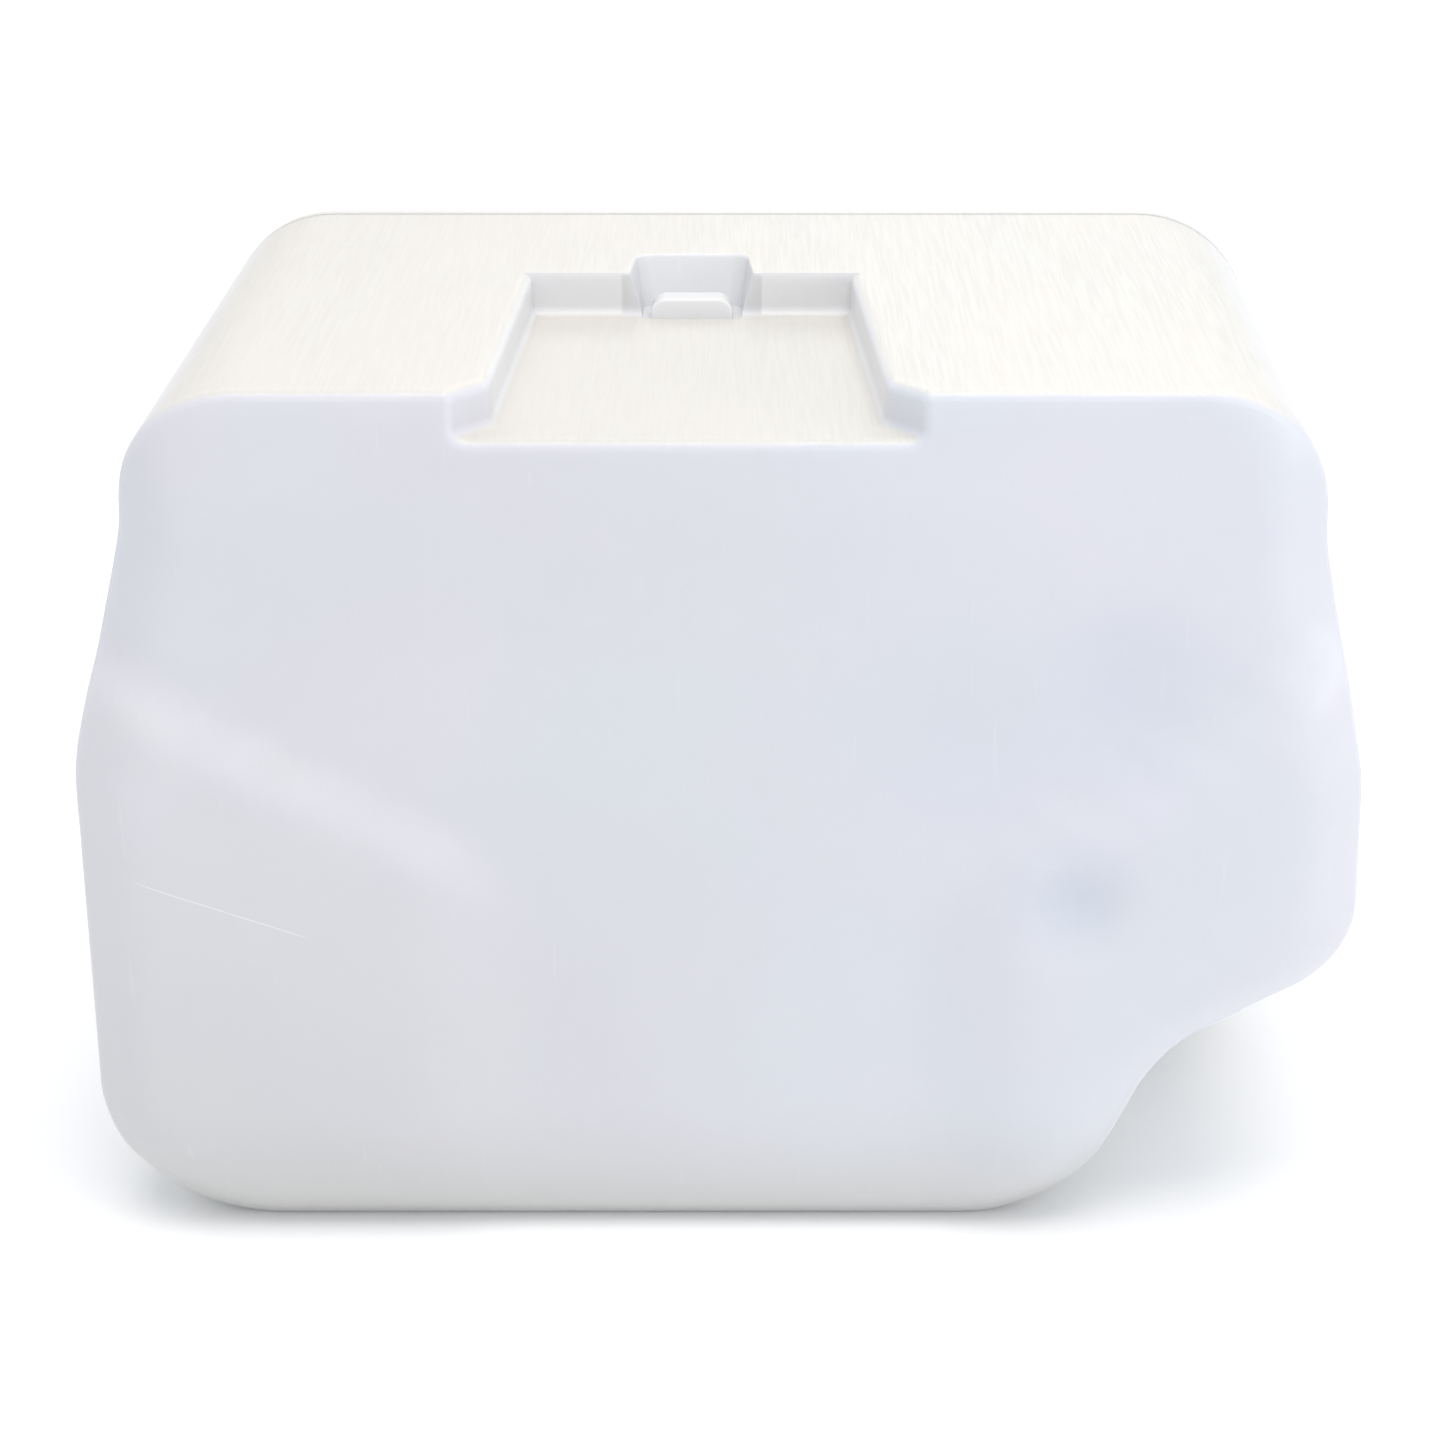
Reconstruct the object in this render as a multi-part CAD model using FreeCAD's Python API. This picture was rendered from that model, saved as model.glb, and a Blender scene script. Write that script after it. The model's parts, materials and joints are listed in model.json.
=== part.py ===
"""Enclosed oil drain pan: a translucent moulded tub closed at the back by a catch-basin cover.

It stands on its long edge. +X is to the right, +Y runs from the plain relief face at the front to the
catch basin at the back, +Z is up, and the origin is the middle of the box around it, at the bottom.
Laid on its front face under an engine, the basin looks up: oil runs down to the screw plug and its
strainer. Stood up again, the tank empties through the capped spout in its notched lower corner.
All sizes are in millimetres.
"""
import FreeCAD
import Part
import math
import os
from FreeCAD import Vector

# Overall size
WIDTH = 366.0
DEPTH = 185.0
HEIGHT = 262.0

# Tub shell
WALL = 2.4
PAD_STAND_OUT = 9.20                     # how far the lower pads stand in front of the upper face
FACE_Y = -DEPTH / 2 + PAD_STAND_OUT      # upper front face
BACK_Y = DEPTH / 2                       # outside of the cover
COVER_T = 4.6
SEAL_T = 1.0
RIM_Y = BACK_Y - COVER_T - SEAL_T        # rear rim of the tub
LEAN_LEFT, LEAN_RIGHT = 4.5, 6.0         # sideways run of the side walls from front to back
FRONT_EDGE_R = 3.2
BACK_EDGE_R = 2.0

BASE_TRIM = 0.4                          # the outline reaches this far below the base, which is trimmed flat

# Corners of the front outline: x, z, radius and the side wall it belongs to
OUTLINE = [
    (-160.0, HEIGHT, 34.0, LEAN_LEFT),
    (-162.3, 222.0, 50.0, LEAN_LEFT),
    (-180.2, 154.0, 70.0, LEAN_LEFT),
    (-184.7, -BASE_TRIM, 50.0, LEAN_LEFT),
    (100.3, -BASE_TRIM, 46.0, LEAN_RIGHT),
    (124.2, 61.5, 45.0, LEAN_RIGHT),
    (178.0, 93.5, 30.0, LEAN_RIGHT),
    (174.8, 150.0, 70.0, LEAN_RIGHT),
    (159.6, 218.0, 50.0, LEAN_RIGHT),
    (157.0, HEIGHT, 37.0, LEAN_RIGHT),
]
TOP_EXTRA = 14.0                         # the edge roll is this much weaker along the top edge

# Relief of the front face
GRID_STEP = 10.0
BAND_TILT, BAND_H = 2.2, 40.0            # the band under the top edge leans back
ROLL_D, ROLL_W = 10.0, 22.0              # the face rolls back towards the sides and the base
PAD_HALF_SLOPE_L, PAD_HALF_SLOPE_R = 10.0, 11.0
PAD_RISE_L, PAD_RISE_R = 5.4, 7.0
PAD_INNER_X, PAD_INNER_BLEND = 71.0, 24.0
PAD_FOOT_BLEND = 55.0                    # the pads fade away towards the base
SHOULDER_L = ((-163.0, 177.5), (-74.0, 127.0))
SHOULDER_R = ((153.5, 180.0), (72.0, 123.5))
HOLLOWS = [                              # x, z, depth and spread of each soft hollow
    (97.0, 115.0, 3.2, 12.0),
    (106.5, 182.0, 1.8, 18.0),
    (63.0, 166.0, 1.2, 22.0),
]

# Latch pocket in the top
POCKET_X = -10.5
POCKET_W_BACK, POCKET_W_FRONT, POCKET_MOUTH_W = 93.5, 104.0, 122.0
POCKET_LENGTH, POCKET_DEPTH, FLARE_LENGTH = 107.0, 13.0, 11.0
POCKET_FLARE_R, POCKET_FOOT_R = 4.0, 3.0
SCOOP_W, SCOOP_W_BACK, SCOOP_LENGTH, SCOOP_R = 37.0, 33.0, 20.0, 5.0
SCOOP_FOOT_W, SCOOP_FOOT_LENGTH = 29.0, 11.0
CATCH_W, CATCH_H, CATCH_OUT = 24.0, 6.0, 3.0
CATCH_R, CATCH_EDGE_R, CATCH_ROOT = 4.6, 0.8, 3.5

# Catch basin in the cover
BASIN_X, BASIN_Z = -26.0, 132.0
BASIN_W, BASIN_H, BASIN_R = 236.0, 174.0, 30.0
BASIN_WALL_D, BASIN_FLOOR_D = 20.0, 36.0
BASIN_DRAFT = 3.0
FLAT_SIDE, FLAT_R = 98.0, 44.0
COVER_WALL = 3.0
BASIN_LIP_R = 2.2                        # rounding of the basin's mouth
CHANNEL_R, CHANNEL_DEPTH = 4.0, 1.2      # drain channels from the basin's corners and sides to the port

# Screws that hold the cover
SCREW_COUNT, SCREW_INSET = 14, 6.4
SCREW_R, SCREW_LENGTH, SCREW_HEAD_R, SCREW_HEAD_H = 1.75, 16.0, 3.2, 2.1
HEX_R, HEX_DEPTH = 1.6, 1.3
BOSS_R, BOSS_LENGTH, BOSS_TAPER = 4.8, 18.0, 8.0

# Drain port, on the axis of the basin
FLOOR_Y = BACK_Y - BASIN_FLOOR_D
COLLAR_SEAL_T, COLLAR_FLANGE_R, COLLAR_FLANGE_T = 1.0, 42.0, 3.0
COLLAR_OUTER_R, COLLAR_BORE_R, COLLAR_LENGTH = 28.5, 24.0, 22.0
COLLAR_LEDGE_R, COLLAR_LEDGE_T = 20.5, 2.0
COLLAR_SCREWS, COLLAR_PCR, COLLAR_SCREW_LENGTH = 6, 36.5, 11.0
COLLAR_BOSS_R, COLLAR_BOSS_LENGTH = 4.5, 8.0
PORT_PITCH, PORT_TURNS = 4.0, 1.75
PORT_THREAD_H = 1.5
PLUG_FLANGE_R, PLUG_FLANGE_T, PLUG_STEM_R, PLUG_STEM_LENGTH = 31.0, 4.0, 21.9, 15.0
PLUG_WALL, PLUG_STAND_OFF = 2.5, 0.9
ORING_R, ORING_CORD_R = 25.6, 1.3
BAIL_R, BAIL_BEND_R, BAIL_WIRE_R = 21.5, 3.1, 1.8
BAIL_LUG_X, BAIL_LUG_T, BAIL_LUG_W, BAIL_AXIS_H = 16.0, 4.0, 7.0, 3.2

# Strainer, seated on the ledge in the collar
BASKET_R, BASKET_DEPTH, BASKET_WALL = 19.8, 22.0, 1.4
BASKET_RIM_R, BASKET_RIM_T = 23.4, 1.4
SNAP_R, SNAP_INNER_R, SNAP_T, SNAP_GAP_W = 24.6, 22.2, 1.0, 9.0
BASKET_HOLE_R, BASKET_HOLE_ROWS, BASKET_HOLES_ROUND = 1.5, 3, 20

# Spout, on a flat pad in the notched corner
SPOUT_Y, SPOUT_Z = 44.0, 31.0
PAD_FACE_X, PAD_R, PAD_DEPTH, SPOT_FACE_R = 126.0, 25.0, 24.0, 24.0
PAD_T, PAD_CUP_R = 6.0, 24.0
NECK_SEAL_T, NECK_FLANGE_R, NECK_FLANGE_T = 1.0, 23.0, 2.5
NECK_BORE_R, NECK_R, NECK_LENGTH, NECK_TAIL = 14.0, 17.0, 16.0, 15.0
NUT_R, NUT_T, NUT_NOTCHES, NUT_NOTCH_R = 22.5, 6.0, 8, 2.2
SPOUT_PITCH, SPOUT_TURNS = 4.0, 1.5
SPOUT_THREAD_H = 1.3
CAP_CLEAR, CAP_WALL, CAP_TOP_T, CAP_SKIRT = 1.9, 2.2, 2.4, 13.5
CAP_RIBS, CAP_RIB_R = 30, 0.9
LINER_T, LINER_CLEAR = 1.2, 0.3

# Vent, in a round pocket of the cover
VENT_X, VENT_Z = 133.0, 207.0
VENT_POCKET_R, VENT_POCKET_D = 21.0, 17.0
VENT_BORE_R, VENT_NECK_R, VENT_NECK_H = 4.5, 7.5, 12.0
VENT_PITCH, VENT_TURNS = 3.0, 1.5
VENT_THREAD_H, VENT_THREAD_Z = 1.0, 4.0
VENT_CAP_CLEAR, VENT_CAP_WALL, VENT_CAP_TOP_T, VENT_CAP_SKIRT = 1.5, 2.0, 2.0, 9.5
VENT_CAP_RIBS, VENT_CAP_RIB_R = 20, 0.7
VENT_LINER_T = 1.0

TOUCH = 0.05                             # gap where two parts meet face to face
X_AXIS, Y_AXIS, Z_AXIS = Vector(1, 0, 0), Vector(0, 1, 0), Vector(0, 0, 1)


# ---------------------------------------------------------------- outline

def inset_corners(inset, top_extra=0.0):
    """Corners of the outline moved inwards by inset. Radii shrink on outer corners and grow on inner ones."""
    corners = [(x, z + (top_extra if z == HEIGHT else 0.0), r, lean) for x, z, r, lean in OUTLINE]
    count = len(corners)
    lines = []
    for i in range(count):
        x0, z0 = corners[i][:2]
        x1, z1 = corners[(i + 1) % count][:2]
        length = math.hypot(x1 - x0, z1 - z0)
        dx, dz = (x1 - x0) / length, (z1 - z0) / length
        lines.append((x0 - dz * inset, z0 + dx * inset, dx, dz))
    moved = []
    for i in range(count):
        ax, az, adx, adz = lines[i - 1]
        bx, bz, bdx, bdz = lines[i]
        turn = adx * bdz - adz * bdx
        along = ((bx - ax) * bdz - (bz - az) * bdx) / turn
        r, lean = corners[i][2:]
        moved.append((ax + adx * along, az + adz * along, r - inset if turn > 0 else r + inset, lean))
    return moved


def outline_wire(y, inset=0.0, top_extra=0.0):
    """The closed outline of straight runs and tangent arcs, in the plane at y."""
    share = (y - FACE_Y) / (BACK_Y - FACE_Y)
    points = [Vector(x + lean * share, y, z) for x, z, _, lean in inset_corners(inset, top_extra)]
    radii = [r for _, _, r, _ in inset_corners(inset, top_extra)]
    return rounded_wire(points, radii)


def rounded_wire(points, radii):
    """A closed polygon with each corner rounded by a tangent arc of its own radius."""
    count = len(points)
    arcs = []
    for i in range(count):
        corner = points[i]
        back = (points[i - 1] - corner).normalize()
        ahead = (points[(i + 1) % count] - corner).normalize()
        half = back.getAngle(ahead) / 2
        middle = (back + ahead).normalize()
        start = corner + back * (radii[i] / math.tan(half))
        end = corner + ahead * (radii[i] / math.tan(half))
        arcs.append((start, corner + middle * (radii[i] / math.sin(half) - radii[i]), end))
    edges = []
    for i, (start, middle, end) in enumerate(arcs):
        edges.append(Part.Arc(start, middle, end).toShape())
        edges.append(Part.LineSegment(end, arcs[(i + 1) % count][0]).toShape())
    return Part.Wire(edges)


def above(shape, z):
    """The part of a shape that is above a level, so that what is left has a flat underside."""
    return shape.cut(Part.makeBox(2 * WIDTH, 4 * DEPTH, 50, Vector(-WIDTH, -2 * DEPTH, z - 50)))


def outline_block(y0, y1, inset=0.0):
    return above(Part.makeLoft([outline_wire(y0, inset), outline_wire(y1, inset)], True, True), inset)


def outline_slab(y0, y1, inset=0.0):
    """A thin plate of the outline at its back plane, so that its edge is square."""
    return above(Part.Face(outline_wire(y1, inset)).extrude(Vector(0, y0 - y1, 0)), inset)


# ---------------------------------------------------------------- front relief

def smooth(t):
    """0 below 0, 1 above 1, with a soft start and end."""
    t = max(0.0, min(1.0, t))
    return t * t * t * (t * (6 * t - 15) + 10)


def below_line(x, z, line, half_width):
    """0 above a sloping line and 1 below it, blended over half_width each side."""
    (x0, z0), (x1, z1) = line
    length = math.hypot(x1 - x0, z1 - z0)
    distance = ((x1 - x0) * (z - z0) - (z1 - z0) * (x - x0)) / length
    if x1 > x0:
        distance = -distance
    return smooth(0.5 + distance / (2 * half_width))


class EdgeRoll:
    """How far the front face rolls back near the side walls and the base."""

    def __init__(self):
        wire = outline_wire(FACE_Y, 0.0, TOP_EXTRA)
        self.points = [(p.x, p.z) for p in wire.discretize(Number=600)[:-1]]

    def distance(self, x, z):
        """Distance to the outline, negative outside it."""
        nearest = min(math.hypot(x - a, z - b) for a, b in self.points)
        crossings = 0
        for (x0, z0), (x1, z1) in zip(self.points, self.points[1:] + self.points[:1]):
            if (z0 > z) != (z1 > z) and x < (x1 - x0) * (z - z0) / (z1 - z0) + x0:
                crossings += 1
        return nearest if crossings % 2 else -nearest

    def depth(self, x, z):
        t = (ROLL_W - self.distance(x, z)) / ROLL_W
        if t <= 0:
            return 0.0
        return ROLL_D * t * t if t < 1 else ROLL_D * (2 * t - 1)


def stand_out(x, z, roll):
    """How far the front surface stands in front of FACE_Y at a point of the face."""
    rise = BAND_TILT * smooth((HEIGHT - z) / BAND_H)
    left = below_line(x, z, SHOULDER_L, PAD_HALF_SLOPE_L)
    left *= smooth(0.5 + (-PAD_INNER_X - x) / (2 * PAD_INNER_BLEND))
    right = below_line(x, z, SHOULDER_R, PAD_HALF_SLOPE_R)
    right *= smooth(0.5 + (x - PAD_INNER_X) / (2 * PAD_INNER_BLEND))
    rise += (PAD_RISE_L * left + PAD_RISE_R * right) * smooth((z + 5) / PAD_FOOT_BLEND)
    for cx, cz, depth, spread in HOLLOWS:
        rise -= depth * math.exp(-((x - cx) ** 2 + (z - cz) ** 2) / spread ** 2)
    return rise - roll.depth(x, z)


def in_front_of_face(setback):
    """Everything in front of the relief surface, which is moved back by setback."""
    roll = EdgeRoll()
    margin = 24.0
    columns = int((WIDTH + 2 * margin) / GRID_STEP) + 1
    rows = int((HEIGHT + 2 * margin) / GRID_STEP) + 1
    grid = []
    for i in range(columns):
        x = -WIDTH / 2 - margin + i * GRID_STEP
        heights = [-margin + j * GRID_STEP for j in range(rows)]
        grid.append([Vector(x, FACE_Y - stand_out(x, z, roll) + setback, z) for z in heights])
    surface = Part.BSplineSurface()
    surface.interpolate(grid)
    return surface.toShape().extrude(Vector(0, -80, 0))


# ---------------------------------------------------------------- small helpers

def cylinder(r, length, base, axis=Y_AXIS):
    return Part.makeCylinder(r, length, base, axis)


def on_axis(shape, origin, axis):
    """A shape built along +Z from the origin, placed along axis from a point."""
    placed = shape.copy()
    placed.Placement = FreeCAD.Placement(origin, FreeCAD.Rotation(Z_AXIS, axis))
    return placed


def ring(outer_r, inner_r, z0, z1):
    tube = Part.makeCylinder(outer_r, z1 - z0, Vector(0, 0, z0))
    return tube.cut(Part.makeCylinder(inner_r, z1 - z0 + 2, Vector(0, 0, z0 - 1)))


def thread(root_r, crest_r, pitch, turns, z0):
    """One helical ridge from z0 up, with its crest outside the root on a male thread."""
    sink = 0.35 if crest_r > root_r else -0.35
    half_root, half_crest = 0.22 * pitch, 0.12 * pitch
    corners = [
        Vector(root_r - sink, 0, z0 - half_root),
        Vector(crest_r, 0, z0 - half_crest),
        Vector(crest_r, 0, z0 + half_crest),
        Vector(root_r - sink, 0, z0 + half_root),
    ]
    profile = Part.makePolygon(corners + corners[:1])
    helix = Part.makeHelix(pitch, pitch * turns, root_r)
    helix.translate(Vector(0, 0, z0))
    return Part.Wire(helix.Edges).makePipeShell([profile], True, True)


def ribbed(shape, r, z0, z1, count, rib_r):
    """Grip ribs round a cap."""
    ribs = []
    for i in range(count):
        angle = 2 * math.pi * i / count
        ribs.append(Part.makeCylinder(rib_r, z1 - z0, Vector(r * math.cos(angle), r * math.sin(angle), z0)))
    return shape.multiFuse(ribs)


def edges_at(shape, test):
    return [e for e in shape.Edges if test(e)]


def round_rect(cx, cz, w, h, r, y):
    points = [
        Vector(cx - w / 2, y, cz + h / 2),
        Vector(cx - w / 2, y, cz - h / 2),
        Vector(cx + w / 2, y, cz - h / 2),
        Vector(cx + w / 2, y, cz + h / 2),
    ]
    return rounded_wire(points, [r] * 4)


def screw_points():
    wire = outline_wire(BACK_Y, SCREW_INSET)
    return wire.discretize(Number=SCREW_COUNT + 1)[:-1]


# ---------------------------------------------------------------- tub

def pocket(grow):
    """The latch pocket in the top, grown outwards by grow on every side but the top."""
    top = HEIGHT + 5.0
    floor = HEIGHT - POCKET_DEPTH - grow
    y_mouth, y_flare, y_back = FACE_Y - 12.0, FACE_Y + FLARE_LENGTH, FACE_Y + POCKET_LENGTH
    half_mouth, half_front, half_back = POCKET_MOUTH_W / 2, POCKET_W_FRONT / 2, POCKET_W_BACK / 2
    y_lip = FACE_Y + 1.5
    plan = [
        (-half_mouth - grow, y_mouth),
        (half_mouth + grow, y_mouth),
        (half_mouth + grow, y_lip),
        (half_front + grow, y_flare + grow),
        (half_back + grow, y_back + grow),
        (-half_back - grow, y_back + grow),
        (-half_front - grow, y_flare + grow),
        (-half_mouth - grow, y_lip),
    ]
    base = [Vector(POCKET_X + x, y, floor) for x, y in plan]
    block = Part.Face(Part.makePolygon(base + base[:1])).extrude(Vector(0, 0, top - floor))
    if grow == 0:
        upright = edges_at(block, lambda e: e.BoundBox.ZLength > 5
                           and y_mouth + 1 < e.CenterOfMass.y < y_back - 1)
        block = block.makeFillet(POCKET_FLARE_R, upright)
        foot = edges_at(block, lambda e: e.BoundBox.ZMax < floor + 0.1 and e.CenterOfMass.y > y_mouth + 1)
        block = block.makeFillet(POCKET_FOOT_R, foot)
    return block.fuse(scoop(grow))


def scoop(grow):
    """The finger scoop behind the pocket, which narrows downwards to the foot of the back wall."""
    y_wall = FACE_Y + POCKET_LENGTH
    top_rise = 5.0
    spread = (POCKET_DEPTH + top_rise) / POCKET_DEPTH
    levels = [
        (HEIGHT - POCKET_DEPTH - grow, SCOOP_FOOT_W, SCOOP_FOOT_W, SCOOP_FOOT_LENGTH),
        (HEIGHT + top_rise,
         SCOOP_FOOT_W + spread * (SCOOP_W - SCOOP_FOOT_W),
         SCOOP_FOOT_W + spread * (SCOOP_W_BACK - SCOOP_FOOT_W),
         SCOOP_FOOT_LENGTH + spread * (SCOOP_LENGTH - SCOOP_FOOT_LENGTH)),
    ]
    wires = []
    for z, w_front, w_back, length in levels:
        points = [
            Vector(POCKET_X - w_front / 2 - grow, y_wall - 4, z),
            Vector(POCKET_X + w_front / 2 + grow, y_wall - 4, z),
            Vector(POCKET_X + w_back / 2 + grow, y_wall + length + grow, z),
            Vector(POCKET_X - w_back / 2 - grow, y_wall + length + grow, z),
        ]
        wires.append(rounded_wire(points, [1.0, 1.0, SCOOP_R + grow, SCOOP_R + grow]))
    return Part.makeLoft(wires, True, True)


def catch_lug():
    """The small rounded lug at the foot of the pocket's back wall, which a latch snaps behind."""
    y_back = FACE_Y + POCKET_LENGTH
    x0, x1 = POCKET_X - CATCH_W / 2, POCKET_X + CATCH_W / 2
    floor = HEIGHT - POCKET_DEPTH - 1.0
    height = CATCH_H + 1.0
    lug = Part.makeBox(x1 - x0, CATCH_OUT + CATCH_ROOT, height, Vector(x0, y_back - CATCH_OUT, floor))
    ends = edges_at(lug, lambda e: e.BoundBox.ZMin > floor + height - 0.1 and e.BoundBox.XLength < 1)
    lug = lug.makeFillet(CATCH_R, ends)
    front = edges_at(lug, lambda e: e.BoundBox.YMax < y_back - CATCH_OUT + 0.1
                     and e.BoundBox.ZMax > floor + 0.5)
    return lug.makeFillet(CATCH_EDGE_R, front)


def on_spout_axis(r, x0, x1):
    return cylinder(r, x1 - x0, Vector(x0, SPOUT_Y, SPOUT_Z), X_AXIS)


def screw_boss(point):
    y_tip = RIM_Y - BOSS_LENGTH - BOSS_TAPER
    tip = Part.makeCone(1.5, BOSS_R, BOSS_TAPER, Vector(point.x, y_tip, point.z), Y_AXIS)
    return tip.fuse(cylinder(BOSS_R, BOSS_LENGTH, Vector(point.x, y_tip + BOSS_TAPER, point.z)))


def tub_skin():
    """The solid tub with its pocket cut out, rounded round the face and along the mouth of the pocket."""
    skin = outline_block(FACE_Y - 20.0, RIM_Y).cut(in_front_of_face(0.0)).cut(pocket(0.0))
    front = max(skin.Faces, key=lambda f: f.Area if f.CenterOfMass.y < FACE_Y + 5 else 0)
    flare = edges_at(skin, lambda e: e.BoundBox.ZMin > HEIGHT - 0.01
                     and FACE_Y - 2 < e.CenterOfMass.y < FACE_Y + FLARE_LENGTH + 4
                     and e.BoundBox.XLength < 20)
    return skin.makeFillet(FRONT_EDGE_R, front.OuterWire.Edges + flare)


def tank_tub():
    """The tub: walls, screw bosses, and a flat pad for the spout with a cup behind it for the lock nut."""
    skin = tub_skin()
    pad_root, pad_end = PAD_FACE_X - PAD_DEPTH, PAD_FACE_X + 12.0
    keep = outline_block(FACE_Y, RIM_Y, WALL / 2)
    bosses = [screw_boss(p).common(keep) for p in screw_points()]
    hollow = outline_block(FACE_Y - 20.0, RIM_Y + 5, WALL).cut(in_front_of_face(WALL))
    hollow = hollow.cut(pocket(WALL)).cut(bosses[0].multiFuse(bosses[1:]))
    hollow = hollow.cut(on_spout_axis(PAD_R + WALL, pad_root, pad_end))
    hollow = hollow.fuse(on_spout_axis(PAD_CUP_R, pad_root - 1.0, PAD_FACE_X - PAD_T))
    shell = skin.fuse(on_spout_axis(PAD_R, pad_root, PAD_FACE_X)).cut(hollow).fuse(catch_lug())
    cuts = [on_spout_axis(SPOT_FACE_R, PAD_FACE_X, pad_end), on_spout_axis(NECK_R + TOUCH, pad_root, pad_end)]
    start = BACK_Y - SCREW_HEAD_H - SCREW_LENGTH - 1.0
    for p in screw_points():
        cuts.append(cylinder(SCREW_R + TOUCH, RIM_Y - start + 2, Vector(p.x, start, p.z)))
    return shell.cut(cuts[0].multiFuse(cuts[1:]))


# ---------------------------------------------------------------- cover

def basin(grow):
    """The catch basin: drafted side walls, then a floor that falls from all sides to the drain port."""
    wall_y, floor_y = BACK_Y - BASIN_WALL_D - grow, FLOOR_Y - grow
    extra = 2 * grow
    mouth_y = BACK_Y + 1.0 - (2.0 if grow else 0.0)
    mouth = round_rect(BASIN_X, BASIN_Z, BASIN_W + extra, BASIN_H + extra, BASIN_R + grow, mouth_y)
    foot = round_rect(BASIN_X, BASIN_Z, BASIN_W - 2 * BASIN_DRAFT + extra, BASIN_H - 2 * BASIN_DRAFT + extra,
                      BASIN_R - BASIN_DRAFT + grow, wall_y)
    flat = round_rect(BASIN_X, BASIN_Z, FLAT_SIDE + extra, FLAT_SIDE + extra, FLAT_R + grow, floor_y)
    return Part.makeLoft([mouth, foot], True, True).fuse(Part.makeLoft([foot, flat], True, True))


def drain_channels():
    """Round-bottomed channels down the sloping floor, from its corners and the middle of its long sides."""
    half_w, half_h = BASIN_W / 2 - BASIN_DRAFT, BASIN_H / 2 - BASIN_DRAFT
    corner = (BASIN_R - BASIN_DRAFT) * (1 - math.sqrt(0.5))
    flat_corner = FLAT_SIDE / 2 - FLAT_R * (1 - math.sqrt(0.5))
    runs = [(sx * (half_w - corner), sz * (half_h - corner), sx * flat_corner, sz * flat_corner)
            for sx in (-1, 1) for sz in (-1, 1)]
    runs += [(sx * half_w, 0.0, sx * FLAT_SIDE / 2, 0.0) for sx in (-1, 1)]
    runs += [(0.0, sz * half_h, 0.0, sz * FLAT_SIDE / 2) for sz in (-1, 1)]
    channels = []
    for x0, z0, x1, z1 in runs:
        top = Vector(BASIN_X + x0, BACK_Y - BASIN_WALL_D, BASIN_Z + z0)
        foot = Vector(BASIN_X + x1, FLOOR_Y, BASIN_Z + z1)
        down = (foot - top).normalize()
        out = (Y_AXIS - down * Y_AXIS.dot(down)).normalize()
        lift = out * (CHANNEL_R - CHANNEL_DEPTH)
        start = top + lift + down * CHANNEL_R
        channels.append(cylinder(CHANNEL_R, (foot - top).Length - CHANNEL_R, start, down))
    return channels


def collar_points():
    angles = [math.radians(30 + 360 * i / COLLAR_SCREWS) for i in range(COLLAR_SCREWS)]
    return [Vector(BASIN_X + COLLAR_PCR * math.cos(a), 0, BASIN_Z + COLLAR_PCR * math.sin(a)) for a in angles]


def on_basin_mouth(point):
    reach = 2.0
    return (abs(point.x - BASIN_X) < BASIN_W / 2 + reach and abs(point.z - BASIN_Z) < BASIN_H / 2 + reach
            and max(abs(point.x - BASIN_X) - BASIN_W / 2, abs(point.z - BASIN_Z) - BASIN_H / 2) > -BASIN_R)


def rear_cover():
    plate = outline_slab(BACK_Y - COVER_T, BACK_Y)
    plate = plate.makeFillet(BACK_EDGE_R, edges_at(plate, lambda e: abs(e.BoundBox.YMin - BACK_Y) < 0.01))
    vent_floor = BACK_Y - VENT_POCKET_D
    vent_well = cylinder(VENT_POCKET_R + COVER_WALL, VENT_POCKET_D + COVER_WALL - 1.0,
                         Vector(VENT_X, vent_floor - COVER_WALL, VENT_Z))
    y_boss = FLOOR_Y - COVER_WALL - COLLAR_BOSS_LENGTH
    bosses = [cylinder(COLLAR_BOSS_R, COLLAR_BOSS_LENGTH + 1, Vector(p.x, y_boss, p.z))
              for p in collar_points()]
    cover = plate.multiFuse([basin(COVER_WALL), vent_well] + bosses)
    cover = cover.cut(basin(0.0))
    lip = edges_at(cover, lambda e: e.BoundBox.YMin > BACK_Y - 0.01 and on_basin_mouth(e.CenterOfMass))
    cover = cover.makeFillet(BASIN_LIP_R, lip)
    cover = cover.cut(cylinder(VENT_POCKET_R, VENT_POCKET_D + 1, Vector(VENT_X, vent_floor, VENT_Z)))
    cover = cover.cut(cylinder(COLLAR_OUTER_R + 0.3, 20, Vector(BASIN_X, FLOOR_Y - 12, BASIN_Z)))
    neck = ring(VENT_NECK_R, VENT_BORE_R, -1.0, VENT_NECK_H)
    neck = neck.fuse(thread(VENT_NECK_R, VENT_NECK_R + VENT_THREAD_H, VENT_PITCH, VENT_TURNS, VENT_THREAD_Z))
    cover = cover.fuse(on_axis(neck, Vector(VENT_X, vent_floor, VENT_Z), Y_AXIS))
    cuts = [cylinder(VENT_BORE_R, 30, Vector(VENT_X, vent_floor - 10, VENT_Z))] + drain_channels()
    for p in screw_points():
        cuts.append(cylinder(SCREW_R + 0.2, 20, Vector(p.x, BACK_Y - 15, p.z)))
        cuts.append(cylinder(SCREW_HEAD_R + 0.4, 10, Vector(p.x, BACK_Y - SCREW_HEAD_H, p.z)))
    hole_start = FLOOR_Y + COLLAR_SEAL_T + COLLAR_FLANGE_T - COLLAR_SCREW_LENGTH - 1.0
    for p in collar_points():
        cuts.append(cylinder(SCREW_R + TOUCH, 30, Vector(p.x, hole_start, p.z)))
    return cover.cut(cuts[0].multiFuse(cuts[1:]))


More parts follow.
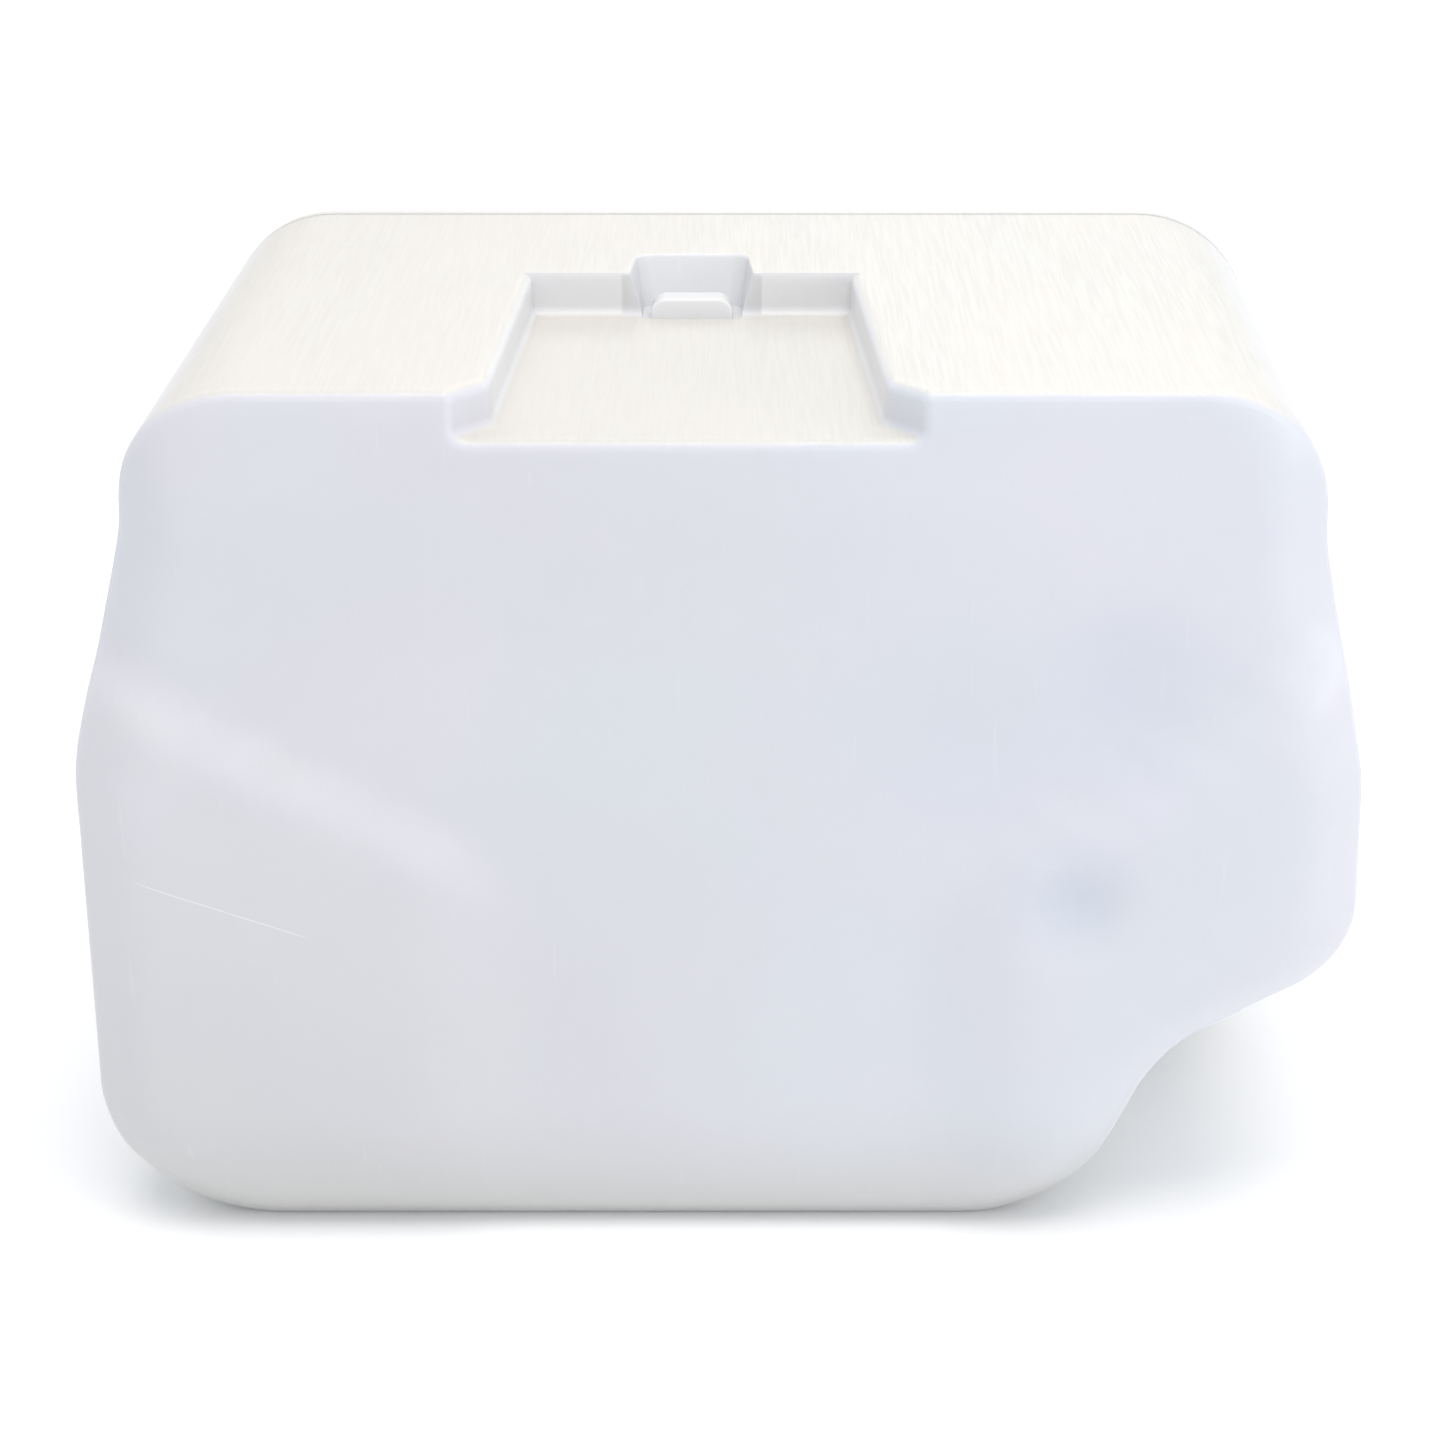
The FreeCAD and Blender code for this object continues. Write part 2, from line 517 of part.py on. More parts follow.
def cover_gasket():
    """A flat ring the width of the screw bosses, between the tub's rim and the cover."""
    y0, y1 = RIM_Y, RIM_Y + SEAL_T
    gasket = outline_slab(y0, y1, 0.5).cut(outline_slab(y0 - 1, y1 + 1, SCREW_INSET + BOSS_R - 1.0))
    holes = [cylinder(SCREW_R + 0.2, 10, Vector(p.x, RIM_Y - 3, p.z)) for p in screw_points()]
    return gasket.cut(holes[0].multiFuse(holes[1:]))


def screw(length):
    """A pan-head screw with a hexagon socket, built along +Z with the underside of its head at 0."""
    head = Part.makeCylinder(SCREW_HEAD_R, SCREW_HEAD_H)
    head = head.makeFillet(0.7, edges_at(head, lambda e: e.BoundBox.ZMin > SCREW_HEAD_H - 0.01))
    point = Part.makeCone(0.5, SCREW_R, 2.0, Vector(0, 0, -length))
    shank = Part.makeCylinder(SCREW_R, length - 2.0, Vector(0, 0, 2.0 - length))
    flats = [Vector(HEX_R * math.cos(math.radians(60 * i)), HEX_R * math.sin(math.radians(60 * i)),
                    SCREW_HEAD_H - HEX_DEPTH) for i in range(6)]
    socket = Part.Face(Part.makePolygon(flats + flats[:1])).extrude(Vector(0, 0, HEX_DEPTH + 1))
    return head.multiFuse([shank, point]).cut(socket)


def cover_screws():
    under_head = BACK_Y - SCREW_HEAD_H
    return Part.makeCompound([on_axis(screw(SCREW_LENGTH), Vector(p.x, under_head, p.z), Y_AXIS)
                              for p in screw_points()])


# ---------------------------------------------------------------- drain port

def port(shape):
    """Places a shape whose height 0 is the floor of the basin."""
    return on_axis(shape, Vector(BASIN_X, FLOOR_Y, BASIN_Z), Y_AXIS)


def port_screw_holes(shape, r):
    holes = [cylinder(r, 40, Vector(p.x, FLOOR_Y - 10, p.z)) for p in collar_points()]
    return shape.cut(holes[0].multiFuse(holes[1:]))


FLANGE_TOP = COLLAR_SEAL_T + COLLAR_FLANGE_T
COLLAR_FOOT = FLANGE_TOP - COLLAR_LENGTH
LEDGE_TOP = COLLAR_FOOT + COLLAR_LEDGE_T
SNAP_Z = LEDGE_TOP + BASKET_RIM_T + 2 * TOUCH
PLUG_UNDER = FLANGE_TOP + PLUG_STAND_OFF
PLUG_TOP = PLUG_UNDER + PLUG_FLANGE_T
COLLAR_THREAD_Z = FLANGE_TOP - 11.0
PLUG_THREAD_Z = COLLAR_THREAD_Z + PORT_PITCH / 2


def collar_gasket():
    flat = ring(COLLAR_FLANGE_R - 0.5, COLLAR_OUTER_R + 0.3, 0, COLLAR_SEAL_T)
    return port_screw_holes(port(flat), SCREW_R + 0.2)


def port_collar():
    flange = ring(COLLAR_FLANGE_R, COLLAR_BORE_R, COLLAR_SEAL_T, FLANGE_TOP)
    outer_top = edges_at(flange, lambda e: e.BoundBox.ZMin > FLANGE_TOP - 0.01
                         and e.BoundBox.XMax > COLLAR_BORE_R + 5)
    flange = flange.makeFillet(1.0, outer_top)
    tube = ring(COLLAR_OUTER_R, COLLAR_BORE_R, COLLAR_FOOT, COLLAR_SEAL_T + 1)
    ledge = ring(COLLAR_OUTER_R - 1, COLLAR_LEDGE_R, COLLAR_FOOT, LEDGE_TOP)
    ridge = thread(COLLAR_BORE_R, COLLAR_BORE_R - PORT_THREAD_H, PORT_PITCH, PORT_TURNS, COLLAR_THREAD_Z)
    groove = ring(SNAP_R + TOUCH, COLLAR_BORE_R - 2, SNAP_Z - TOUCH, SNAP_Z + SNAP_T + TOUCH)
    return port_screw_holes(port(flange.multiFuse([tube, ledge, ridge]).cut(groove)), SCREW_R + 0.2)


def collar_screws():
    top = FLOOR_Y + FLANGE_TOP
    return Part.makeCompound([on_axis(screw(COLLAR_SCREW_LENGTH), Vector(p.x, top, p.z), Y_AXIS)
                              for p in collar_points()])


def strainer_basket():
    rim = ring(BASKET_RIM_R, BASKET_R - BASKET_WALL, LEDGE_TOP, LEDGE_TOP + BASKET_RIM_T)
    foot = LEDGE_TOP - BASKET_DEPTH
    cup = Part.makeCylinder(BASKET_R, BASKET_DEPTH + 0.5, Vector(0, 0, foot))
    cup = cup.makeFillet(3.0, edges_at(cup, lambda e: e.BoundBox.ZMax < foot + 0.01))
    inside = Part.makeCylinder(BASKET_R - BASKET_WALL, BASKET_DEPTH + 5, Vector(0, 0, foot + BASKET_WALL))
    basket = rim.fuse(cup.cut(inside))
    holes = []
    for row in range(BASKET_HOLE_ROWS):
        for i in range(BASKET_HOLES_ROUND):
            angle = 360.0 * (i + 0.5 * (row % 2)) / BASKET_HOLES_ROUND
            direction = Vector(math.cos(math.radians(angle)), math.sin(math.radians(angle)), 0)
            start = direction * (BASKET_R - 4) + Vector(0, 0, foot + 6 + 5 * row)
            holes.append(cylinder(BASKET_HOLE_R, 6, start, direction))
    for ring_r, count in ((0.0, 1), (5.0, 6), (10.0, 12), (14.5, 18)):
        for i in range(count):
            angle = 2 * math.pi * i / count
            centre = Vector(ring_r * math.cos(angle), ring_r * math.sin(angle), foot - 2)
            holes.append(cylinder(BASKET_HOLE_R, 6, centre, Z_AXIS))
    return port(basket.cut(Part.makeCompound(holes)))


def strainer_snap_ring():
    """The split spring ring in a groove of the collar that keeps the strainer on its ledge."""
    snap = ring(SNAP_R, SNAP_INNER_R, SNAP_Z, SNAP_Z + SNAP_T)
    gap = Part.makeBox(SNAP_GAP_W, 2 * SNAP_R, SNAP_T + 2, Vector(-SNAP_GAP_W / 2, 0, SNAP_Z - 1))
    return port(snap.cut(gap))


def drain_plug():
    flange = Part.makeCylinder(PLUG_FLANGE_R, PLUG_FLANGE_T, Vector(0, 0, PLUG_UNDER))
    flange = flange.makeFillet(1.2, edges_at(flange, lambda e: e.BoundBox.ZMin > PLUG_TOP - 0.01))
    stem = ring(PLUG_STEM_R, PLUG_STEM_R - PLUG_WALL, PLUG_UNDER - PLUG_STEM_LENGTH, PLUG_UNDER + 1)
    ridge = thread(PLUG_STEM_R, PLUG_STEM_R + PORT_THREAD_H, PORT_PITCH, PORT_TURNS, PLUG_THREAD_Z)
    groove_top = FLANGE_TOP + 2 * ORING_CORD_R + 2 * TOUCH
    groove_half = ORING_CORD_R + TOUCH
    groove = ring(ORING_R + groove_half, ORING_R - groove_half, PLUG_UNDER - 0.5, groove_top)
    plug = flange.multiFuse([stem, ridge]).cut(groove)
    axis_z = PLUG_TOP + BAIL_AXIS_H
    for side in (-1, 1):
        x0 = side * BAIL_LUG_X - BAIL_LUG_T / 2
        foot = Vector(x0, -BAIL_LUG_W / 2, PLUG_TOP - 1)
        post = Part.makeBox(BAIL_LUG_T, BAIL_LUG_W, BAIL_AXIS_H + 1, foot)
        eye = cylinder(BAIL_LUG_W / 2, BAIL_LUG_T, Vector(x0, 0, axis_z), X_AXIS)
        hole = cylinder(BAIL_WIRE_R + TOUCH, BAIL_LUG_T + 2, Vector(x0 - 1, 0, axis_z), X_AXIS)
        plug = plug.fuse(post.fuse(eye)).cut(hole)
    return port(plug)


def plug_bail():
    """A stiff wire handle, lying flat on the plug, whose ends are hooked through two lugs."""
    z = PLUG_TOP + BAIL_AXIS_H
    end_x, bend = BAIL_LUG_X - BAIL_LUG_T / 2 - 1.5, BAIL_BEND_R
    turn_x, c = BAIL_R - bend, bend * (1 - math.sqrt(0.5))
    path = Part.Wire([
        Part.LineSegment(Vector(end_x, 0, z), Vector(turn_x, 0, z)).toShape(),
        Part.Arc(Vector(turn_x, 0, z), Vector(BAIL_R - c, c, z), Vector(BAIL_R, bend, z)).toShape(),
        Part.Arc(Vector(BAIL_R, bend, z), Vector(0, bend + BAIL_R, z), Vector(-BAIL_R, bend, z)).toShape(),
        Part.Arc(Vector(-BAIL_R, bend, z), Vector(c - BAIL_R, c, z), Vector(-turn_x, 0, z)).toShape(),
        Part.LineSegment(Vector(-turn_x, 0, z), Vector(-end_x, 0, z)).toShape(),
    ])
    section = Part.Wire(Part.makeCircle(BAIL_WIRE_R, Vector(end_x, 0, z), X_AXIS))
    return port(path.makePipeShell([section], True, True))


def drain_plug_oring():
    return port(Part.makeTorus(ORING_R, ORING_CORD_R, Vector(0, 0, FLANGE_TOP + TOUCH + ORING_CORD_R)))


# ---------------------------------------------------------------- screw caps

def screw_cap(neck_r, neck_top, clear, wall, top_t, skirt, ridge_z, thread_spec, liner_t, rib_spec):
    """A ribbed cap over a threaded neck, built along +Z from the foot of the neck."""
    pitch, turns, height = thread_spec
    rib_count, rib_r = rib_spec
    inner_r = neck_r + clear
    outer_r = inner_r + wall
    roof = neck_top + liner_t + 2 * TOUCH
    body = Part.makeCylinder(outer_r, skirt + top_t, Vector(0, 0, roof - skirt))
    body = body.makeFillet(1.2, edges_at(body, lambda e: e.BoundBox.ZMin > roof + top_t - 0.01))
    body = ribbed(body, outer_r - 0.2, roof - skirt, roof + top_t - 1.6, rib_count, rib_r)
    body = body.cut(Part.makeCylinder(inner_r, skirt + 1, Vector(0, 0, roof - skirt - 1)))
    return body.fuse(thread(inner_r, inner_r - height, pitch, turns, ridge_z))


NECK_FOOT = NECK_SEAL_T + NECK_FLANGE_T
NECK_TOP = NECK_FOOT + NECK_LENGTH
NECK_THREAD_Z = NECK_TOP - 9.0


def spout(shape):
    """Places a shape whose height 0 is the face of the spout pad."""
    return on_axis(shape, Vector(PAD_FACE_X, SPOUT_Y, SPOUT_Z), X_AXIS)


def spout_gasket():
    return spout(ring(NECK_FLANGE_R - 0.5, NECK_R + 0.3, 0, NECK_SEAL_T))


def spout_neck():
    socket = ring(NECK_R, NECK_BORE_R, -NECK_TAIL, NECK_TOP)
    flange = ring(NECK_FLANGE_R, NECK_BORE_R, NECK_SEAL_T, NECK_FOOT)
    ridge = thread(NECK_R, NECK_R + SPOUT_THREAD_H, SPOUT_PITCH, SPOUT_TURNS, NECK_THREAD_Z)
    return spout(socket.multiFuse([flange, ridge]))


def spout_lock_nut():
    """The flat ring nut inside the tank that clamps the neck to its pad, with notches for a spanner."""
    z1 = -PAD_T - TOUCH
    nut = ring(NUT_R, NECK_R + TOUCH, z1 - NUT_T, z1)
    notches = []
    for i in range(NUT_NOTCHES):
        angle = 2 * math.pi * i / NUT_NOTCHES
        centre = Vector(NUT_R * math.cos(angle), NUT_R * math.sin(angle), z1 - NUT_T - 1)
        notches.append(Part.makeCylinder(NUT_NOTCH_R, NUT_T + 2, centre))
    return spout(nut.cut(notches[0].multiFuse(notches[1:])))


def spout_cap():
    return spout(screw_cap(NECK_R, NECK_TOP, CAP_CLEAR, CAP_WALL, CAP_TOP_T, CAP_SKIRT,
                           NECK_THREAD_Z - SPOUT_PITCH / 2,
                           (SPOUT_PITCH, SPOUT_TURNS, SPOUT_THREAD_H), LINER_T, (CAP_RIBS, CAP_RIB_R)))


def spout_cap_liner():
    r = NECK_R + CAP_CLEAR - SPOUT_THREAD_H - LINER_CLEAR
    return spout(Part.makeCylinder(r, LINER_T, Vector(0, 0, NECK_TOP + TOUCH)))


def vent(shape):
    """Places a shape whose height 0 is the floor of the vent pocket."""
    return on_axis(shape, Vector(VENT_X, BACK_Y - VENT_POCKET_D, VENT_Z), Y_AXIS)


def vent_cap():
    return vent(screw_cap(VENT_NECK_R, VENT_NECK_H, VENT_CAP_CLEAR, VENT_CAP_WALL, VENT_CAP_TOP_T,
                          VENT_CAP_SKIRT, VENT_THREAD_Z + VENT_PITCH / 2,
                          (VENT_PITCH, VENT_TURNS, VENT_THREAD_H), VENT_LINER_T,
                          (VENT_CAP_RIBS, VENT_CAP_RIB_R)))


def vent_cap_liner():
    r = VENT_NECK_R + VENT_CAP_CLEAR - VENT_THREAD_H - LINER_CLEAR
    return vent(Part.makeCylinder(r, VENT_LINER_T, Vector(0, 0, VENT_NECK_H + TOUCH)))


# ---------------------------------------------------------------- write the parts

NODES = (
    tank_tub, rear_cover, cover_gasket, cover_screws, port_collar, collar_gasket, collar_screws,
    strainer_basket, strainer_snap_ring, drain_plug, drain_plug_oring, plug_bail, spout_neck, spout_gasket,
    spout_lock_nut, spout_cap, spout_cap_liner, vent_cap, vent_cap_liner,
)


def main():
    os.makedirs("parts", exist_ok=True)
    for node in NODES:
        shape = node()
        shape.exportStep("parts/" + node.__name__ + ".step")
        solids, volume = len(shape.Solids), shape.Volume
        print(f"{node.__name__:18s} solids {solids:2d}  valid {shape.isValid()}  {volume:10.1f} mm3")


if __name__ == "__main__":
    main()
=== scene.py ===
"""Looks for the enclosed oil drain pan: materials, light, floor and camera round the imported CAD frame."""
import json
import math

import bpy
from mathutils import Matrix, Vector

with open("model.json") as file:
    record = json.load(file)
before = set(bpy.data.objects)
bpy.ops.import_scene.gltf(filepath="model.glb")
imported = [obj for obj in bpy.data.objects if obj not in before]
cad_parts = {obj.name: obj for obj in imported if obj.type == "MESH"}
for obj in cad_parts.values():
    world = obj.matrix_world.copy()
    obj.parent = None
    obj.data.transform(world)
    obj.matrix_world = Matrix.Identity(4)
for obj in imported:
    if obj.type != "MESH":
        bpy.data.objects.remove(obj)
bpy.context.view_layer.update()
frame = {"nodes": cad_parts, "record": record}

SMOOTH_BELOW = math.radians(32)          # faces that meet at a smaller angle are shaded as one surface
FLOOR_HALF = 6.0                         # half the side of the square floor

# Camera: a long lens that looks down at the front face
CAMERA_PLACE = (-0.0015, -0.7463, 0.4913)
CAMERA_PITCH = math.radians(26)
LENS, SENSOR = 67.55, 36.0

# Everything in front of the first y is the front face, and it fades out towards the second
FRONT_FACE, SCUFFED_FACE = (-0.078, -0.06), (-0.075, -0.07)

# A faint scuff on the front face, from one end to the other: x and z
SCUFF = ((-0.1668, 0.1228), (-0.115, 0.1035))
SCUFF_HALF_WIDTH = 0.0003

# Painted shade in the dimple and hollows of the front wall: x and z, radius, and how much of the shade colour
# they take
PAINTED_SHADE_SPOTS = (((0.096, 0.116), 0.024, 0.5), ((0.106, 0.178), 0.040, 0.35), ((0.06, 0.163), 0.045, 0.2))

# The top, the pocket's floor, and the finger scoop: its middle, half its width, and its front and back ends
TOP_Z, POCKET_FLOOR_Z = 0.262, 0.249
# Painted light: off the front face, the walls are painted lighter up towards the pocket, between these
# heights
PAINTED_LIGHT_BAND = (0.236, 0.248)                # the walls get lighter between these heights
# Painted shade: below this height the walls are painted darker towards the base
BASE_SHADE_TOP = 0.05                          # below this the walls get darker towards the base
SCOOP_X, SCOOP_HALF_WIDTH, SCOOP_FRONT, SCOOP_BACK = -0.0105, 0.020, 0.0225, 0.045
# The finger scoop's walls are painted a darker shade, which fades over SCOOP_EDGE at its ends
SCOOP_EDGE = 0.001                       # how far the scoop's tint takes to fade at its ends


def srgb(r, g, b):
    """A display colour, 0 to 255, as the linear colour that a shader takes."""
    def linear(c):
        c /= 255
        return c / 12.92 if c <= 0.04045 else ((c + 0.055) / 1.055) ** 2.4
    return (linear(r), linear(g), linear(b), 1.0)


# ---------------------------------------------------------------- material graph

class Graph:
    """A new material, with short calls that add its nodes. Textures are placed in metres on the object."""

    def __init__(self, name):
        self.material = bpy.data.materials.new(name)
        self.material.use_nodes = True
        self.nodes = self.material.node_tree.nodes
        self.links = self.material.node_tree.links
        self.shader = self.nodes["Principled BSDF"]
        coordinates = self.nodes.new("ShaderNodeTexCoord")
        self.place = coordinates.outputs["Object"]
        self.x, self.y, self.z = self.split(self.place)
        self.facing_up = self.split(coordinates.outputs["Normal"])[2]

    def feed(self, socket, value):
        """Links a node's output to a socket, or sets the socket to a plain value."""
        if isinstance(value, bpy.types.NodeSocket):
            self.links.new(value, socket)
        else:
            socket.default_value = value

    def split(self, vector):
        """The X, Y and Z of a vector."""
        node = self.nodes.new("ShaderNodeSeparateXYZ")
        self.feed(node.inputs[0], vector)
        return node.outputs

    def math(self, operation, a, b=0.0):
        """One math node on one or two values."""
        node = self.nodes.new("ShaderNodeMath")
        node.operation = operation
        self.feed(node.inputs[0], a)
        self.feed(node.inputs[1], b)
        return node.outputs[0]

    def noise(self, stretch, detail=2.0):
        """Noise from 0 to 1, with about one grain per 1/stretch metres along each axis."""
        mapping = self.nodes.new("ShaderNodeMapping")
        self.feed(mapping.inputs["Vector"], self.place)
        mapping.inputs["Scale"].default_value = stretch
        node = self.nodes.new("ShaderNodeTexNoise")
        self.feed(node.inputs["Vector"], mapping.outputs[0])
        node.inputs["Scale"].default_value = 1.0
        node.inputs["Detail"].default_value = detail
        return node.outputs[0]

    def step(self, value, low, high, start=0.0, end=1.0):
        """A soft step from start, where value is at most low, to end, where it is at least high."""
        node = self.nodes.new("ShaderNodeMapRange")
        node.interpolation_type = "SMOOTHSTEP"
        for socket, number in zip(node.inputs, (value, low, high, start, end)):
            self.feed(socket, number)
        return node.outputs[0]

    def mix(self, share, a, b):
        """Colour a where share is 0, and b where it is 1."""
        node = self.nodes.new("ShaderNodeMix")
        node.data_type = "RGBA"
        self.feed(node.inputs[0], share)
        self.feed(node.inputs[6], a)
        self.feed(node.inputs[7], b)
        return node.outputs[2]

    def bump(self, height, depth):
        """Bumps of a given height, 0 to 1, times depth in metres."""
        node = self.nodes.new("ShaderNodeBump")
        node.inputs["Strength"].default_value = 1.0
        node.inputs["Distance"].default_value = depth
        self.feed(node.inputs["Height"], height)
        self.feed(self.shader.inputs["Normal"], node.outputs[0])

    def set(self, **values):
        """Feeds the shader's inputs by name, with _ for a space."""
        for name, value in values.items():
            self.feed(self.shader.inputs[name.replace("_", " ")], value)


# ---------------------------------------------------------------- materials

def along_line(graph, ends, half_width):
    """1 on a straight stretch in the plane of the front face, and 0 away from it."""
    (x0, z0), (x1, z1) = ends
    length = math.hypot(x1 - x0, z1 - z0)
    ux, uz = (x1 - x0) / length, (z1 - z0) / length
    dx, dz = graph.math("SUBTRACT", graph.x, x0), graph.math("SUBTRACT", graph.z, z0)
    along = graph.math("ADD", graph.math("MULTIPLY", dx, ux), graph.math("MULTIPLY", dz, uz))
    across = graph.math("SUBTRACT", graph.math("MULTIPLY", dx, uz), graph.math("MULTIPLY", dz, ux))
    on_line = graph.step(graph.math("ABSOLUTE", across), 0.0, half_width, 1.0, 0.0)
    middle = graph.math("ABSOLUTE", graph.math("SUBTRACT", along, length / 2))
    within = graph.step(middle, length * 0.35, length / 2, 1.0, 0.0)
    in_front = graph.step(graph.y, *SCUFFED_FACE, 1.0, 0.0)
    return graph.math("MULTIPLY", graph.math("MULTIPLY", on_line, within), in_front)


def near(graph, spot, radius):
    """1 at a point of the front face, and 0 from radius away."""
    dx, dz = graph.math("SUBTRACT", graph.x, spot[0]), graph.math("SUBTRACT", graph.z, spot[1])
    squares = graph.math("ADD", graph.math("MULTIPLY", dx, dx), graph.math("MULTIPLY", dz, dz))
    return graph.step(graph.math("SQRT", squares), 0.0, radius, 1.0, 0.0)


def painted_scoop_shade(graph):
    """1 on the walls of the finger scoop, where they take a painted shade, and 0 elsewhere."""
    across = graph.math("ABSOLUTE", graph.math("SUBTRACT", graph.x, SCOOP_X))
    share = graph.step(across, SCOOP_HALF_WIDTH, SCOOP_HALF_WIDTH + SCOOP_EDGE, 1.0, 0.0)
    for limit in (graph.step(graph.y, SCOOP_FRONT - SCOOP_EDGE, SCOOP_FRONT),
                  graph.step(graph.y, SCOOP_BACK, SCOOP_BACK + SCOOP_EDGE, 1.0, 0.0),
                  graph.step(graph.z, POCKET_FLOOR_Z - SCOOP_EDGE, POCKET_FLOOR_Z),
                  graph.step(graph.z, TOP_Z - SCOOP_EDGE, TOP_Z - 0.0002, 1.0, 0.0)):
        share = graph.math("MULTIPLY", share, limit)
    return share


def natural_plastic(name):
    """Translucent polyethylene: cool and mottled on the front, warm and streaked where it faces up, with
    painted light and painted shade on both.
    """
    g = Graph(name)
    # Painted light from the right: the front face is lighter and bluer towards the right
    right_painted_light = g.step(g.x, -0.17, 0.12)
    cool = g.mix(right_painted_light, srgb(212, 211, 215), srgb(214, 215, 224))
    mottle = g.step(g.noise((9, 9, 11), 3.0), 0.36, 0.64)
    cool = g.mix(g.math("MULTIPLY", mottle, 0.5), cool, srgb(219, 217, 225))
    tint = g.step(g.noise((13, 13, 12), 1.0), 0.4, 0.68)
    cool = g.mix(g.math("MULTIPLY", tint, 0.35), cool, srgb(209, 216, 220))
    # Painted shade: the front wall is darker in its dimple and hollows
    for spot, radius, share in PAINTED_SHADE_SPOTS:
        cool = g.mix(g.math("MULTIPLY", near(g, spot, radius), share), cool, srgb(192, 204, 216))
    # Painted shade on the lower left of the front face, away from the light on the right
    lower_left_painted_shade = g.math("MULTIPLY", g.step(g.x, -0.15, 0.03, 1.0, 0.0), g.step(g.z, 0.05, 0.15, 1.0, 0.0))
    cool = g.mix(g.math("MULTIPLY", lower_left_painted_shade, 0.7), cool, srgb(205, 204, 206))
    front = g.step(g.y, *FRONT_FACE, 1.0, 0.0)
    # Painted light on the walls up towards the pocket
    wall_painted_light = g.step(g.z, *PAINTED_LIGHT_BAND)
    cool = g.mix(front, g.mix(wall_painted_light, srgb(216, 217, 220), srgb(229, 229, 231)), cool)
    # Painted shade, darker towards the base
    base_painted_shade = g.step(g.z, 0.0, BASE_SHADE_TOP, 1.0, 0.0)
    cool = g.mix(g.math("MULTIPLY", base_painted_shade, 0.8), cool, srgb(199, 199, 195))

    streaks = g.noise((1200, 45, 1200), 3.0)
    warm = g.mix(g.step(streaks, 0.3, 0.7), srgb(217, 213, 207), srgb(223, 222, 216))
    blush = g.step(g.noise((26, 10, 26), 2.0), 0.42, 0.66)
    warm = g.mix(g.math("MULTIPLY", blush, 0.4), warm, srgb(226, 220, 212))
    # Painted shade on the left of the up-facing surfaces
    top_left_painted_shade = g.math("MULTIPLY", g.step(g.x, -0.14, 0.07, 1.0, 0.0), 0.5)
    warm = g.mix(top_left_painted_shade, warm, srgb(207, 201, 193))
    # Painted shade on the sunken floor of the pocket
    pocket_floor_painted_shade = g.step(g.z, POCKET_FLOOR_Z + 0.001, POCKET_FLOOR_Z + 0.004, 0.45, 0.0)
    warm = g.mix(pocket_floor_painted_shade, warm, srgb(205, 201, 195))
    # Painted light: up-facing surfaces take the warm, streaked colour, painted lighter than the front as if
    # lit from above
    up = g.step(g.facing_up, 0.55, 0.93)
    colour = g.mix(up, cool, warm)

    # Painted shade on the walls of the finger scoop
    colour = g.mix(painted_scoop_shade(g), colour, srgb(212, 212, 214))
    scuff = along_line(g, SCUFF, SCUFF_HALF_WIDTH)
    rubbed = g.step(g.noise((420, 420, 26), 3.0), 0.66, 0.8)
    worn = g.math("MAXIMUM", g.math("MULTIPLY", scuff, 0.55), g.math("MULTIPLY", rubbed, 0.1))
    colour = g.mix(worn, colour, srgb(247, 247, 246))

    grain = g.noise((900, 900, 900), 2.0)
    ribbing = g.math("MULTIPLY", streaks, g.math("MULTIPLY", up, 0.6))
    g.bump(g.math("ADD", g.math("MULTIPLY", grain, 0.35), ribbing), 0.00008)
    rough = g.step(g.noise((60, 60, 60), 3.0), 0.3, 0.7, 0.36, 0.47)
    g.set(Base_Color=colour, Roughness=g.math("ADD", rough, g.math("MULTIPLY", worn, 0.15)))
    g.set(Subsurface_Weight=0.22, Subsurface_Radius=(0.008, 0.0085, 0.009), Subsurface_Scale=1.0)
    return g.material


def black_plastic():
    """Black nylon with a fine moulded texture and a little dust."""
    g = Graph("black_plastic")
    dust = g.step(g.noise((45, 45, 45), 4.0), 0.45, 0.75)
    g.set(Base_Color=g.mix(g.math("MULTIPLY", dust, 0.6), srgb(34, 34, 36), srgb(58, 57, 56)))
    g.set(Roughness=g.step(g.noise((160, 160, 160), 3.0), 0.3, 0.7, 0.42, 0.6))
    g.bump(g.noise((2300, 2300, 2300), 2.0), 0.00006)
    return g.material


def seal_rubber():
    """Black nitrile rubber with a grey bloom."""
    g = Graph("seal_rubber")
    bloom = g.step(g.noise((120, 120, 120), 4.0), 0.4, 0.75)
    g.set(Base_Color=g.mix(bloom, srgb(26, 26, 26), srgb(46, 46, 47)))
    g.set(Roughness=g.step(bloom, 0.0, 1.0, 0.62, 0.8))
    g.bump(g.noise((1500, 1500, 1500), 2.0), 0.00004)
    return g.material


def seal_foam():
    """White closed-cell foam."""
    g = Graph("seal_foam")
    cells = g.noise((1600, 1600, 1600), 2.0)
    g.set(Base_Color=g.mix(g.step(cells, 0.3, 0.7), srgb(208, 207, 200), srgb(232, 231, 226)), Roughness=0.85)
    g.bump(cells, 0.00009)
    return g.material


def zinc_steel():
    """Zinc plate: faint bluish and yellowish clouds, and fine drawing marks."""
    g = Graph("steel")
    clouds = g.step(g.noise((70, 70, 70), 3.0), 0.35, 0.65)
    g.set(Base_Color=g.mix(clouds, srgb(196, 201, 209), srgb(207, 203, 192)), Metallic=1.0)
    marks = g.noise((2600, 300, 2600), 3.0)
    g.set(Roughness=g.step(marks, 0.25, 0.75, 0.24, 0.4))
    g.bump(marks, 0.00002)
    return g.material


